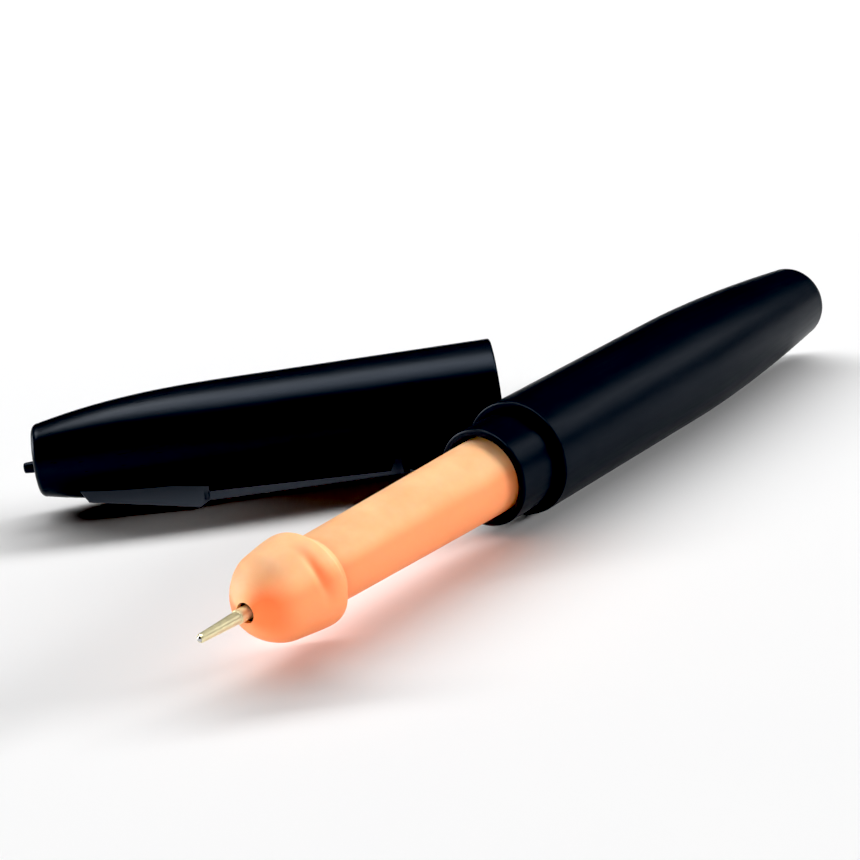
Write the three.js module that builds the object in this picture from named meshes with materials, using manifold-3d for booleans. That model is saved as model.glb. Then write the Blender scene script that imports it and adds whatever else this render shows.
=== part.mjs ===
// A novelty capped ballpoint pen that lies on a table beside its cap.
// Millimetres, +Z up. The cap's axis runs along X with its mouth towards +X. The pen lies in
// front of it, turned in plan, with its point towards the viewer (-Y).
// Along the pen, `a` counts from the barrel's front face: rearwards is positive, and the point
// is at a negative `a`. Along the cap, `s` counts from its mouth towards its closed end.

import * as THREE from 'three';
import { mergeVertices } from 'three/addons/utils/BufferGeometryUtils.js';
import Module from 'manifold-3d';

const wasm = await Module();
wasm.setup();

// Barrel
const BARREL_RADIUS = 7.5;
const BARREL_LENGTH = 73.6;
const BARREL_STRAIGHT = 38;          // length of the true cylinder behind the front face
const BARREL_END_RADIUS = 5.35;      // where the taper meets the rounded rear end
const BARREL_END_ROUND = 2.0;
const BARREL_TAPER_POWER = 1.7;
const BARREL_WALL = 1.3;
const BARREL_END_WALL = 2.2;
const MOUTH_CHAMFER = 0.35;          // lead-in at the barrel's bore
const EDGE_BREAK = 0.25;             // small chamfer on the shells' edges

// Section: collar, spigot and core tube
const COLLAR_RADIUS = 6.35;
const COLLAR_LENGTH = 7.4;
const COLLAR_ROUND = 0.5;
const SPIGOT_LENGTH = 12;
const SPIGOT_LEAD = 0.5;
const SPIGOT_GAP = 0.25;             // radial play of the push fit in the barrel
const SHOULDER_GAP = 0.3;            // seam between the collar and the barrel's face
const CORE_RADIUS = 2.9;
const CORE_NOSE_RADIUS = 1.3;
const CORE_NOSE_LENGTH = 3.2;        // the core tube's narrowed front end
const CORE_TIP_LENGTH = 1.6;         // its straight part
const CORE_STEP_SET = 1.2;           // seat of the refill, behind the core's taper
const CORE_RECESS = 0.7;             // how far the core tube's end lies inside the head's hole
const POCKET_DEPTH = 1.8;            // how far the sleeve sits inside the collar
const POCKET_GAP = 0.35;

// Grip sleeve
const GRIP_REAR_RADIUS = 4.95;
const GRIP_NECK_RADIUS = 4.35;
const GRIP_NECK_AT = 39.2;           // end of the shaft, ahead of the barrel's face
const HEAD_RIM_AT = 41.8;
const HEAD_RIM_RADIUS = 5.95;
const HEAD_BULGE_AT = 46.6;
const HEAD_BULGE_RADIUS = 5.4;
const HEAD_NOSE_AT = 51.3;
const HEAD_BLUNTNESS = 1.5;          // 2 is an elliptic nose, less is more pointed
const NOSE_HOLE_RADIUS = 1.5;
const NOSE_HOLE_LEAD = 0.6;
const NECK_FULLNESS = 0.15;          // how far the rim's rear slope swells
const RIM_SLANT = 0.155;             // how far the rim leans forward per mm of height
const DENT_AT = 43.5;                // shallow hollow ahead of the rim, on one side
const DENT_DEPTH = 0.65;
const DENT_LENGTH = 3.4;
const DENT_ANGLE = 158;              // degrees round the pen, from its left side upwards
const DENT_SPREAD = 52;
const SLEEVE_GAP = 0.15;

// Refill
const TUBE_RADIUS = 1.55;
const TUBE_WALL = 0.5;
const SOCKET_LENGTH = 9.4;           // of the socket ahead of the refill's tube
const REFILL_LENGTH = 104;
const INK_LENGTH = 58;
const FOLLOWER_LENGTH = 6;
const FILL_GAP = 0.12;               // between what fills the tube and its wall
const REFILL_GAP = 0.18;             // between the refill and what carries it
const SOCKET_PLUG_LENGTH = 5;
const SOCKET_CHANNEL_RADIUS = 0.45;
const SHANK_RADIUS = 1.1;            // hidden rear half of the point
const SHANK_LENGTH = 4.2;
const SHANK_GAP = 0.1;
const TIP_NECK_RADIUS = 0.82;
const TIP_CONE_START_RADIUS = 0.74;
const TIP_CONE_LENGTH = 5.8;
const POINT_STANDOUT = 7.1;          // centre of the ball, ahead of the head's nose
const BALL_RADIUS = 0.4;
const BALL_GAP = 0.03;
const LIP_LEAD = 0.2;                // how far the lip closes over the ball, past its centre
const LIP_WALL = 0.09;
const INK_CHANNEL_RADIUS = 0.25;

// Cap
const CAP_LENGTH = 64;
const CAP_STRAIGHT = 36;             // length of the cylinder behind the mouth
const CAP_END_RADIUS = 5.1;
const CAP_END_ROUND = 0.9;
const CAP_TAPER_POWER = 2.5;
const CAP_WALL = 1.1;
const CAP_END_WALL = 1.6;
const CAP_FIT = 0.12;                // play of the cap's bore over the collar
const NUB_RADIUS = 0.9;
const NUB_LENGTH = 1.4;

// Clip, in the plane that holds the cap's axis
const CLIP_ANGLE = 40;               // degrees below level, on the viewer's side
const CLIP_ROOT_AT = 58.6;           // where the raised root leaves the cap's surface
const CLIP_HEEL_AT = 57.3;
const CLIP_HEEL_STAND = 8.6;         // outer edge of the heel, from the cap's axis
const CLIP_FREE_AT = 50;             // ahead of this the root stands clear of the cap
const CLIP_BARB_AT = 42.4;
const CLIP_BARB_STAND = 11.4;
const CLIP_BARB_INSIDE = 8.2;        // inner edge of the barb, from the cap's axis
const CLIP_ROOT_WIDTH = 1.8;
const CLIP_HEEL_WIDTH = 1.2;
const CLIP_RIDGE_WIDTH = 0.4;        // of the narrow face along the root's outer edge
const CLIP_FLANK = 2.6;              // how deep the root's sloping sides reach
const CLIP_ARM_START = 40.6;
const CLIP_ARM_END = 13.2;
const CLIP_ARM_STAND = 10.5;         // outer face of the arm at its root, from the cap's axis
const CLIP_ARM_RISE = 0.4;           // how much further out the free end stands
const CLIP_ARM_THICK = 1.8;
const CLIP_END_THICK = 1.0;
const CLIP_ARM_WIDTH = 1.6;
const CLIP_END_WIDTH = 1.3;
const CLIP_ARM_BEVEL = 0.35;
const CLIP_END_LIFT = 0.4;           // slope of the arm's inner face at its free end
const CLIP_FOOT_SET = 0.5;           // from the arm's end to its foot
const CLIP_FOOT_LENGTH = 2.6;
const CLIP_FOOT_SLOPE = 0.8;
const CLIP_GAP = 0.35;

// Lay-out on the table
const PEN_YAW = 47.5;                // degrees in plan from the cap's axis to the pen's
const CAP_OFFSET_X = 1.2;            // cap's mouth from the barrel's front face, in plan
const CAP_OFFSET_Y = 30.1;
const CAP_RADIUS = BARREL_RADIUS;    // the closed pen is flush

// How finely round surfaces are cut
const SIDES = 48;
const SMALL_SIDES = 24;
const ARC_STEPS = 6;
const NOSE_STEPS = 12;
const RIM_STEPS = 14;
const TAPER_STEPS = 11;
const BORE_STEPS = 6;
const SHAFT_STEPS = 5;
const BALL_SIDES = 20;
const BALL_RINGS = 12;
const WELD_TOLERANCE = 1e-5;

const BARREL_BORE = BARREL_RADIUS - BARREL_WALL;
const SPIGOT_RADIUS = BARREL_BORE - SPIGOT_GAP;
const CORE_BORE = TUBE_RADIUS + REFILL_GAP;
const NOSE_BORE = TIP_NECK_RADIUS + REFILL_GAP;
const POCKET_RADIUS = GRIP_REAR_RADIUS + POCKET_GAP;
const POCKET_FLOOR = COLLAR_LENGTH - POCKET_DEPTH;
const CORE_NOSE_REACH = HEAD_NOSE_AT - CORE_RECESS;   // ahead of the barrel's face
const TIP_REACH = HEAD_NOSE_AT + POINT_STANDOUT;
const CORE_STEP_AT = CORE_NOSE_REACH - CORE_NOSE_LENGTH - CORE_STEP_SET;
const SOCKET_FRONT_AT = CORE_STEP_AT - SHOULDER_GAP;
const TUBE_BORE = TUBE_RADIUS - TUBE_WALL;
const CAP_BORE = COLLAR_RADIUS + CAP_FIT;

const degrees = THREE.MathUtils.degToRad;

const materials = {
  shellPlastic: () => new THREE.MeshStandardMaterial({ color: 0x0b0d12, roughness: 0.32, metalness: 0 }),
  softGrip: () => new THREE.MeshStandardMaterial({ color: 0xf8a774, roughness: 0.62, metalness: 0 }),
  tubePlastic: () => new THREE.MeshStandardMaterial({ color: 0xe6e8ea, roughness: 0.35, metalness: 0 }),
  ink: () => new THREE.MeshStandardMaterial({ color: 0x10152e, roughness: 0.25, metalness: 0 }),
  grease: () => new THREE.MeshStandardMaterial({ color: 0xd8cf9e, roughness: 0.3, metalness: 0 }),
  nickelSilver: () => new THREE.MeshStandardMaterial({ color: 0xc9bf98, roughness: 0.3, metalness: 1 }),
  steel: () => new THREE.MeshStandardMaterial({ color: 0x9a9ca0, roughness: 0.2, metalness: 1 }),
};

// Shared helpers

// Joins equal vertices and drops the empty triangles that a revolve leaves on its axis.
function weld(geometry) {
  const bare = geometry.clone();
  bare.deleteAttribute('normal');
  bare.deleteAttribute('uv');
  const merged = mergeVertices(bare, WELD_TOLERANCE);
  const source = merged.index.array;
  const kept = [];
  for (let i = 0; i < source.length; i += 3) {
    const [p, q, r] = [source[i], source[i + 1], source[i + 2]];
    if (p !== q && q !== r && r !== p) kept.push(p, q, r);
  }
  merged.setIndex(kept);
  return merged;
}

function toSolid(geometry) {
  const welded = weld(geometry);
  return new wasm.Manifold(new wasm.Mesh({
    numProp: 3,
    vertProperties: new Float32Array(welded.attributes.position.array),
    triVerts: new Uint32Array(welded.index.array),
  }));
}

function toGeometry(solid) {
  const mesh = solid.getMesh();
  const geometry = new THREE.BufferGeometry();
  geometry.setAttribute('position', new THREE.BufferAttribute(new Float32Array(mesh.vertProperties), 3));
  geometry.setIndex(new THREE.BufferAttribute(new Uint32Array(mesh.triVerts), 1));
  return geometry;
}

function piece(name, geometry, material) {
  const finished = weld(geometry);
  finished.computeVertexNormals();
  const mesh = new THREE.Mesh(finished, material);
  mesh.name = name;
  return mesh;
}

// Revolves an outline about the X axis. Points are [along, radius], listed up the outside and
// back down the inside.
function revolve(outline, sides = SIDES) {
  const points = outline.map(([along, radius]) => new THREE.Vector2(radius, along));
  return new THREE.LatheGeometry(points, sides).rotateZ(-Math.PI / 2);
}

// A quarter round from [along, radius] towards the axis, which ends `size` further along.
function endRound(along, radius, size, towards) {
  const points = [];
  for (let i = 0; i <= ARC_STEPS; i += 1) {
    const turn = (Math.PI / 2) * (i / ARC_STEPS);
    points.push([along + towards * size * Math.sin(turn), radius - size * (1 - Math.cos(turn))]);
  }
  return points;
}

function samples(from, to, count, radiusAt) {
  const points = [];
  for (let i = 0; i <= count; i += 1) {
    const along = from + (to - from) * (i / count);
    points.push([along, radiusAt(along)]);
  }
  return points;
}

// A radius that stays straight and then falls away along a power curve.
function taper(along, straight, end, startRadius, endRadius, power) {
  const share = Math.max(0, (along - straight) / (end - straight));
  return startRadius - (startRadius - endRadius) * share ** power;
}

// Barrel

function barrelRadius(a) {
  const taperEnd = BARREL_LENGTH - BARREL_END_ROUND;
  return taper(a, BARREL_STRAIGHT, taperEnd, BARREL_RADIUS, BARREL_END_RADIUS, BARREL_TAPER_POWER);
}

function makeBarrel() {
  const taperEnd = BARREL_LENGTH - BARREL_END_ROUND;
  const boreEnd = BARREL_LENGTH - BARREL_END_WALL;
  const boreRadius = (a) => Math.min(BARREL_BORE, barrelRadius(Math.min(a, taperEnd)) - BARREL_WALL);
  const outside = [
    [0, BARREL_RADIUS - EDGE_BREAK],
    [EDGE_BREAK, BARREL_RADIUS],
    ...samples(BARREL_STRAIGHT, taperEnd, TAPER_STEPS, barrelRadius),
    ...endRound(taperEnd, BARREL_END_RADIUS, BARREL_END_ROUND, 1).slice(1),
    [BARREL_LENGTH, 0],
  ];
  const inside = [
    [boreEnd, 0],
    [boreEnd, boreRadius(boreEnd) - EDGE_BREAK],
    ...samples(boreEnd - EDGE_BREAK, BARREL_STRAIGHT, BORE_STEPS, boreRadius),
    [MOUTH_CHAMFER, BARREL_BORE],
    [0, BARREL_BORE + MOUTH_CHAMFER],
    [0, BARREL_RADIUS - EDGE_BREAK],
  ];
  return piece('barrel', revolve([...outside, ...inside]), materials.shellPlastic());
}

// Section

function makeSection() {
  const front = -COLLAR_LENGTH;
  const back = -SHOULDER_GAP;
  const noseEnd = -CORE_NOSE_REACH;
  const outline = [
    [noseEnd, NOSE_BORE],
    [noseEnd, CORE_NOSE_RADIUS],
    [noseEnd + CORE_TIP_LENGTH, CORE_NOSE_RADIUS],
    [noseEnd + CORE_NOSE_LENGTH, CORE_RADIUS],
    [-POCKET_FLOOR, CORE_RADIUS],
    [-POCKET_FLOOR, POCKET_RADIUS],
    [front, POCKET_RADIUS],
    ...endRound(front + COLLAR_ROUND, COLLAR_RADIUS, COLLAR_ROUND, -1).reverse(),
    [back, COLLAR_RADIUS],
    [back, SPIGOT_RADIUS],
    [SPIGOT_LENGTH - SPIGOT_LEAD, SPIGOT_RADIUS],
    [SPIGOT_LENGTH, SPIGOT_RADIUS - SPIGOT_LEAD],
    [SPIGOT_LENGTH, CORE_BORE],
    [-CORE_STEP_AT, CORE_BORE],
    [-CORE_STEP_AT, NOSE_BORE],
    [noseEnd, NOSE_BORE],
  ];
  return piece('section', revolve(outline, SIDES), materials.shellPlastic());
}

// Grip sleeve

// The head's outline: a blunt nose behind the hole's edge, then a gentle line to the rim, and the
// step down to the shaft.
function sleeveOutside() {
  const noseLength = HEAD_NOSE_AT - HEAD_BULGE_AT;
  const noseRadius = (a) => {
    const share = Math.min(1, (-HEAD_BULGE_AT - a) / noseLength);
    const full = (1 - share ** HEAD_BLUNTNESS) ** (1 / HEAD_BLUNTNESS);
    return NOSE_HOLE_RADIUS + (HEAD_BULGE_RADIUS - NOSE_HOLE_RADIUS) * full;
  };
  const nose = [];
  for (let i = 0; i < NOSE_STEPS; i += 1) {
    const a = -HEAD_BULGE_AT - noseLength * Math.cos((Math.PI / 2) * (i / NOSE_STEPS));
    nose.push([a, noseRadius(a)]);
  }
  const neckEnd = -GRIP_NECK_AT;
  const slopeMiddle = -(HEAD_RIM_AT + GRIP_NECK_AT) / 2;
  const flank = new THREE.SplineCurve([
    new THREE.Vector2(-HEAD_BULGE_AT, HEAD_BULGE_RADIUS),
    new THREE.Vector2(-HEAD_RIM_AT, HEAD_RIM_RADIUS),
    new THREE.Vector2(slopeMiddle, (HEAD_RIM_RADIUS + GRIP_NECK_RADIUS) / 2 + NECK_FULLNESS),
    new THREE.Vector2(neckEnd, GRIP_NECK_RADIUS),
  ]);
  const rim = flank.getPoints(RIM_STEPS).map((point) => [point.x, point.y]);
  const pocketFace = -COLLAR_LENGTH;
  const shaftRadius = (a) => GRIP_NECK_RADIUS
    + (GRIP_REAR_RADIUS - GRIP_NECK_RADIUS) * ((a - neckEnd) / (pocketFace - neckEnd));
  return [...nose, ...rim, ...samples(neckEnd, pocketFace, SHAFT_STEPS, shaftRadius).slice(1)];
}

// A smooth hump: 1 in the middle, 0 from `reach` outwards.
function hump(distance, reach) {
  const share = Math.min(1, Math.abs(distance) / reach);
  return 0.5 + 0.5 * Math.cos(Math.PI * share);
}

// Gives the turned head its moulded form. The rim leans, its upper side forward, and on one side
// a shallow dent lies ahead of it. Both fade out towards the nose and the shaft, and the bore
// stays round.
function mouldHead(geometry) {
  const positions = geometry.attributes.position;
  const skinFrom = CORE_RADIUS + 2 * SLEEVE_GAP;
  const fade = HEAD_NOSE_AT - HEAD_RIM_AT;
  const dentTurn = degrees(DENT_ANGLE);
  for (let i = 0; i < positions.count; i += 1) {
    const [x, y, z] = [positions.getX(i), positions.getY(i), positions.getZ(i)];
    const radius = Math.hypot(y, z);
    if (radius > skinFrom) {
      const near = hump(x + HEAD_RIM_AT, fade);
      const turn = Math.atan2(z, y) - dentTurn;
      const around = Math.abs(Math.atan2(Math.sin(turn), Math.cos(turn)));
      const dent = hump(x + DENT_AT, DENT_LENGTH / 2) * hump(around, degrees(DENT_SPREAD));
      const left = (radius - DENT_DEPTH * dent) / radius;
      positions.setXYZ(i, x - RIM_SLANT * z * near, y * left, z * left);
    }
  }
  return geometry;
}

function makeGripSleeve() {
  const rear = -POCKET_FLOOR - SHOULDER_GAP;
  const bore = CORE_RADIUS + SLEEVE_GAP;
  const noseBore = CORE_NOSE_RADIUS + SLEEVE_GAP;
  const outline = [
    ...sleeveOutside(),
    [rear, GRIP_REAR_RADIUS],
    [rear, bore],
    [-CORE_NOSE_REACH + CORE_NOSE_LENGTH + SLEEVE_GAP, bore],
    [-CORE_NOSE_REACH + CORE_TIP_LENGTH, noseBore],
    [-HEAD_NOSE_AT + NOSE_HOLE_LEAD, noseBore],
    [-HEAD_NOSE_AT, NOSE_HOLE_RADIUS],
  ];
  return piece('grip_sleeve', mouldHead(revolve(outline)), materials.softGrip());
}

// Refill

const TUBE_FRONT = -SOCKET_FRONT_AT + SOCKET_LENGTH;
const TUBE_REAR = -TIP_REACH + REFILL_LENGTH;
const PLUG_END = TUBE_FRONT + SOCKET_PLUG_LENGTH;

function makeRefillTube() {
  const outline = [
    [TUBE_FRONT, TUBE_RADIUS],
    [TUBE_REAR, TUBE_RADIUS],
    [TUBE_REAR, TUBE_BORE],
    [TUBE_FRONT, TUBE_BORE],
    [TUBE_FRONT, TUBE_RADIUS],
  ];
  return piece('refill_tube', revolve(outline, SMALL_SIDES), materials.tubePlastic());
}

function makeFilling(name, from, length, material) {
  const radius = TUBE_BORE - FILL_GAP;
  const outline = [[from, 0], [from, radius], [from + length, radius], [from + length, 0]];
  return piece(name, revolve(outline, SMALL_SIDES), material);
}

function makeTipSocket() {
  const front = -SOCKET_FRONT_AT;
  const shoulder = TUBE_FRONT - SHOULDER_GAP;
  const holeRadius = SHANK_RADIUS + SHANK_GAP;
  const holeEnd = front + SHANK_LENGTH;
  const plugRadius = TUBE_BORE - SHANK_GAP;
  const outline = [
    [front, holeRadius],
    [front, TUBE_RADIUS],
    [shoulder, TUBE_RADIUS],
    [shoulder, plugRadius],
    [PLUG_END, plugRadius - SHANK_GAP],
    [PLUG_END, SOCKET_CHANNEL_RADIUS],
    [holeEnd, SOCKET_CHANNEL_RADIUS],
    [holeEnd, holeRadius],
    [front, holeRadius],
  ];
  return piece('tip_socket', revolve(outline, SMALL_SIDES), materials.tubePlastic());
}

function makeTipBody() {
  const centre = -TIP_REACH;
  const lipFront = centre - LIP_LEAD;
  const lipBore = Math.sqrt(BALL_RADIUS ** 2 - LIP_LEAD ** 2) + BALL_GAP;
  const cup = BALL_RADIUS + BALL_GAP;
  const seat = centre + cup;
  const coneStart = centre + TIP_CONE_LENGTH;
  const neckStart = -SOCKET_FRONT_AT - SHANK_GAP;
  const rear = neckStart + SHANK_LENGTH - SHANK_GAP;
  const outline = [
    [lipFront, lipBore],
    [lipFront, lipBore + LIP_WALL / 2],
    [centre, cup + LIP_WALL],
    [coneStart, TIP_CONE_START_RADIUS],
    [coneStart, TIP_NECK_RADIUS],
    [neckStart, TIP_NECK_RADIUS],
    [neckStart, SHANK_RADIUS],
    [rear, SHANK_RADIUS],
    [rear, INK_CHANNEL_RADIUS],
    [seat + SHANK_GAP, INK_CHANNEL_RADIUS],
    [centre + BALL_RADIUS / 2, cup],
    [centre, cup],
    [lipFront, lipBore],
  ];
  return piece('tip_body', revolve(outline, SMALL_SIDES), materials.nickelSilver());
}

function makeTipBall() {
  const sphere = new THREE.SphereGeometry(BALL_RADIUS, BALL_SIDES, BALL_RINGS);
  const ball = piece('tip_ball', sphere, materials.steel());
  ball.position.x = -TIP_REACH;
  return ball;
}

// Cap

function capRadius(s) {
  const taperEnd = CAP_LENGTH - CAP_END_ROUND;
  return taper(s, CAP_STRAIGHT, taperEnd, CAP_RADIUS, CAP_END_RADIUS, CAP_TAPER_POWER);
}

function capShellOutline() {
  const taperEnd = CAP_LENGTH - CAP_END_ROUND;
  const nubEnd = CAP_LENGTH + NUB_LENGTH;
  const boreEnd = CAP_LENGTH - CAP_END_WALL;
  const boreRadius = (x) => Math.min(CAP_BORE, capRadius(Math.min(-x, taperEnd)) - CAP_WALL);
  return [
    [-nubEnd, 0],
    [-nubEnd, NUB_RADIUS - EDGE_BREAK],
    [-nubEnd + EDGE_BREAK, NUB_RADIUS],
    [-CAP_LENGTH, NUB_RADIUS],
    ...endRound(-taperEnd, CAP_END_RADIUS, CAP_END_ROUND, -1).reverse(),
    ...samples(-taperEnd, -CAP_STRAIGHT, TAPER_STEPS, (x) => capRadius(-x)).slice(1),
    [-EDGE_BREAK, CAP_RADIUS],
    [0, CAP_RADIUS - EDGE_BREAK],
    [0, CAP_BORE + EDGE_BREAK],
    [-EDGE_BREAK, CAP_BORE],
    ...samples(-CAP_STRAIGHT, -boreEnd + EDGE_BREAK, BORE_STEPS, boreRadius),
    [-boreEnd, boreRadius(-boreEnd) - EDGE_BREAK],
    [-boreEnd, 0],
  ];
}

// The clip's frame: X along the cap towards its mouth, Z straight out from the cap's axis.
// A clip solid is what a side view, a plan view and a bevelled cross-section have in common.
function clipSolid(sideView, planView, edgeFrom, edgeTo, width, ridge, flank) {
  const shape = (points) => new THREE.Shape(points.map(([u, v]) => new THREE.Vector2(u, v)));
  const reach = CAP_LENGTH;
  const side = new THREE.ExtrudeGeometry(shape(sideView), { depth: reach, bevelEnabled: false });
  side.rotateX(Math.PI / 2).translate(0, reach / 2, 0);
  const plan = new THREE.ExtrudeGeometry(shape(planView), { depth: reach, bevelEnabled: false });
  const section = [
    [-width / 2, -reach / 2],
    [width / 2, -reach / 2],
    [width / 2, -flank],
    [ridge / 2, 0],
    [-ridge / 2, 0],
    [-width / 2, -flank],
  ];
  const bar = new THREE.ExtrudeGeometry(shape(section), { depth: 3 * reach, bevelEnabled: false });
  bar.translate(0, 0, -reach);
  const turn = new THREE.Matrix4().makeBasis(
    new THREE.Vector3(0, 1, 0),
    new THREE.Vector3(0, 0, 1),
    new THREE.Vector3(1, 0, 0),
  );
  const [fromX, fromZ] = edgeFrom;
  const [toX, toZ] = edgeTo;
  bar.applyMatrix4(turn).rotateY(-Math.atan2(toZ - fromZ, toX - fromX)).translate(fromX, 0, fromZ);
  return toSolid(side).intersect(toSolid(plan)).intersect(toSolid(bar));
}

const ROOT_END_AT = CLIP_ARM_START + CLIP_GAP;
const ARM_END_STAND = CLIP_ARM_STAND + CLIP_ARM_RISE;

function makeClipRoot() {
  const buried = (x) => capRadius(-x) - CAP_WALL / 2;
  const heel = [-CLIP_HEEL_AT, CLIP_HEEL_STAND];
  const barb = [-CLIP_BARB_AT, CLIP_BARB_STAND];
  const end = [[-ROOT_END_AT, CLIP_ARM_STAND], [-ROOT_END_AT, CLIP_BARB_INSIDE]];
  const inside = samples(-CLIP_FREE_AT, -CLIP_ROOT_AT, BORE_STEPS, buried);
  const sideView = [heel, barb, ...end, ...inside].reverse();
  const planView = [
    [-CLIP_ROOT_AT, -CLIP_HEEL_WIDTH / 2],
    [-CLIP_BARB_AT, -CLIP_ROOT_WIDTH / 2],
    [-ROOT_END_AT, -CLIP_ARM_WIDTH / 2],
    [-ROOT_END_AT, CLIP_ARM_WIDTH / 2],
    [-CLIP_BARB_AT, CLIP_ROOT_WIDTH / 2],
    [-CLIP_ROOT_AT, CLIP_HEEL_WIDTH / 2],
  ];
  return clipSolid(sideView, planView, heel, barb, CLIP_ROOT_WIDTH, CLIP_RIDGE_WIDTH, CLIP_FLANK);
}

function makeCapShell() {
  const shell = toSolid(revolve(capShellOutline()));
  const root = toSolid(toGeometry(makeClipRoot()).rotateX(degrees(90 + CLIP_ANGLE)));
  return piece('cap_shell', toGeometry(shell.add(root)), materials.shellPlastic());
}

function makeClipArm() {
  const innerStart = CLIP_ARM_STAND - CLIP_ARM_THICK;
  const innerEnd = ARM_END_STAND - CLIP_END_THICK;
  const footTip = CAP_RADIUS + CLIP_GAP;
  const footStart = CLIP_ARM_END + CLIP_FOOT_SET;
  const footEnd = footStart + CLIP_FOOT_LENGTH;
  const from = [-CLIP_ARM_START, CLIP_ARM_STAND];
  const to = [-CLIP_ARM_END, ARM_END_STAND];
  const sideView = [
    from,
    [-CLIP_ARM_START, innerStart],
    [-footEnd, innerEnd],
    [-footEnd + CLIP_FOOT_SLOPE, footTip],
    [-footStart - CLIP_FOOT_SLOPE, footTip],
    [-footStart, innerEnd],
    [-CLIP_ARM_END, innerEnd + CLIP_END_LIFT],
    to,
  ];
  const planView = [
    [-CLIP_ARM_START, -CLIP_ARM_WIDTH / 2],
    [-CLIP_ARM_END - CLIP_END_WIDTH / 2, -CLIP_END_WIDTH / 2],
    [-CLIP_ARM_END, -CLIP_END_WIDTH / 4],
    [-CLIP_ARM_END, CLIP_END_WIDTH / 4],
    [-CLIP_ARM_END - CLIP_END_WIDTH / 2, CLIP_END_WIDTH / 2],
    [-CLIP_ARM_START, CLIP_ARM_WIDTH / 2],
  ];
  const ridge = CLIP_ARM_WIDTH - 2 * CLIP_ARM_BEVEL;
  const arm = clipSolid(sideView, planView, from, to, CLIP_ARM_WIDTH, ridge, CLIP_ARM_BEVEL);
  const mesh = piece('clip_arm', toGeometry(arm), materials.shellPlastic());
  mesh.rotation.x = degrees(90 + CLIP_ANGLE);
  return mesh;
}

// Assembly

function makePen() {
  const pen = new THREE.Group();
  const inkStart = PLUG_END + SHOULDER_GAP;
  const greaseStart = inkStart + INK_LENGTH + SHOULDER_GAP;
  pen.add(
    makeBarrel(),
    makeSection(),
    makeGripSleeve(),
    makeRefillTube(),
    makeFilling('ink_column', inkStart, INK_LENGTH, materials.ink()),
    makeFilling('grease_follower', greaseStart, FOLLOWER_LENGTH, materials.grease()),
    makeTipSocket(),
    makeTipBody(),
    makeTipBall(),
  );
  pen.position.z = BARREL_RADIUS;
  pen.rotation.z = degrees(PEN_YAW);
  return pen;
}

function makeCap() {
  const cap = new THREE.Group();
  cap.add(makeCapShell(), makeClipArm());
  cap.position.set(CAP_OFFSET_X, CAP_OFFSET_Y, CAP_RADIUS);
  return cap;
}

// The origin is under the middle of the whole, on the table.
function centreOnTable(whole) {
  whole.updateMatrixWorld(true);
  const box = new THREE.Box3().setFromObject(whole, true);
  const middle = box.getCenter(new THREE.Vector3());
  whole.position.set(-middle.x, -middle.y, -box.min.z);
  whole.updateMatrixWorld(true);
  return whole;
}

const layout = new THREE.Group();
layout.add(makePen(), makeCap());
export default centreOnTable(layout);
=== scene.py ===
import math

import bmesh
import bpy
from mathutils import Matrix, Vector


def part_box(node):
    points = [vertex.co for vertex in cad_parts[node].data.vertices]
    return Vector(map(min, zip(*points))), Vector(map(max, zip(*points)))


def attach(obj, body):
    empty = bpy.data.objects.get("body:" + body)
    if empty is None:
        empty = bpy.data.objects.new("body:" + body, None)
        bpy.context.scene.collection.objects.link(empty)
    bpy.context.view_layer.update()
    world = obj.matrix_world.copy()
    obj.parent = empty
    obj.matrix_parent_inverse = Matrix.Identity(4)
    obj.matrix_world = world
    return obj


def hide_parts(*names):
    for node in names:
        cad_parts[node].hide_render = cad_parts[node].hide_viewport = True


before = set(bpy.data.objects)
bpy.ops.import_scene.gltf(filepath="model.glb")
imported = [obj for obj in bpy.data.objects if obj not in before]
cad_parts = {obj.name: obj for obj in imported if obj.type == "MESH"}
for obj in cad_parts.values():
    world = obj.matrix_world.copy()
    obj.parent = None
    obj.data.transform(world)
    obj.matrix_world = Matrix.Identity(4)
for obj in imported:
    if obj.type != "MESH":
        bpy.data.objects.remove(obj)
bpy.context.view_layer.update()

# Everything is drawn in millimetres in the frame of the pen or of the cap, and placed in metres.
# Along the pen, `a` counts from the barrel's front face, rearwards positive. Along the cap, x is
# 0 at its mouth and negative towards its closed end.
MM = 0.001
SIDES = 192
SMALL_SIDES = 64
TAPER_STEPS = 60
BORE_STEPS = 24
END_STEPS = 14
CORNER_STEPS = 5
CORNER_SUPPORT = 0.2                 # how far past a softened corner its support point stands
SHARP_TURN = math.radians(14)        # corners of an outline that turn by less stay as they are
SMOOTH_TURN = math.radians(40)       # edges between faces that turn by less are shaded smooth

# Barrel
BARREL_RADIUS = 7.5
BARREL_LENGTH = 73.6
BARREL_STRAIGHT = 38.0
BARREL_END_RADIUS = 5.35
BARREL_END_ROUND = 2.0
BARREL_TAPER_POWER = 1.7
BARREL_WALL = 1.3
BARREL_END_WALL = 2.2
BARREL_BORE = BARREL_RADIUS - BARREL_WALL
MOUTH_CHAMFER = 0.35
BARREL_EDGE = 0.3

# Section
COLLAR_RADIUS = 6.35
COLLAR_LENGTH = 7.4
SPIGOT_LENGTH = 12.0
SPIGOT_FIT = 0.25
SPIGOT_RADIUS = BARREL_BORE - SPIGOT_FIT
SPIGOT_LEAD = 0.5
SEAM = 0.3
CORE_RADIUS = 2.9
CORE_BORE = 1.73
CORE_NOSE_RADIUS = 1.3
CORE_NOSE_REACH = 50.6
CORE_NOSE_LENGTH = 3.2
CORE_TIP_LENGTH = 1.6
CORE_STEP_AT = 46.2
NOSE_BORE = 1.0
POCKET_RADIUS = 5.3
POCKET_FLOOR = 5.6
SECTION_EDGE = 0.4

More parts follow.
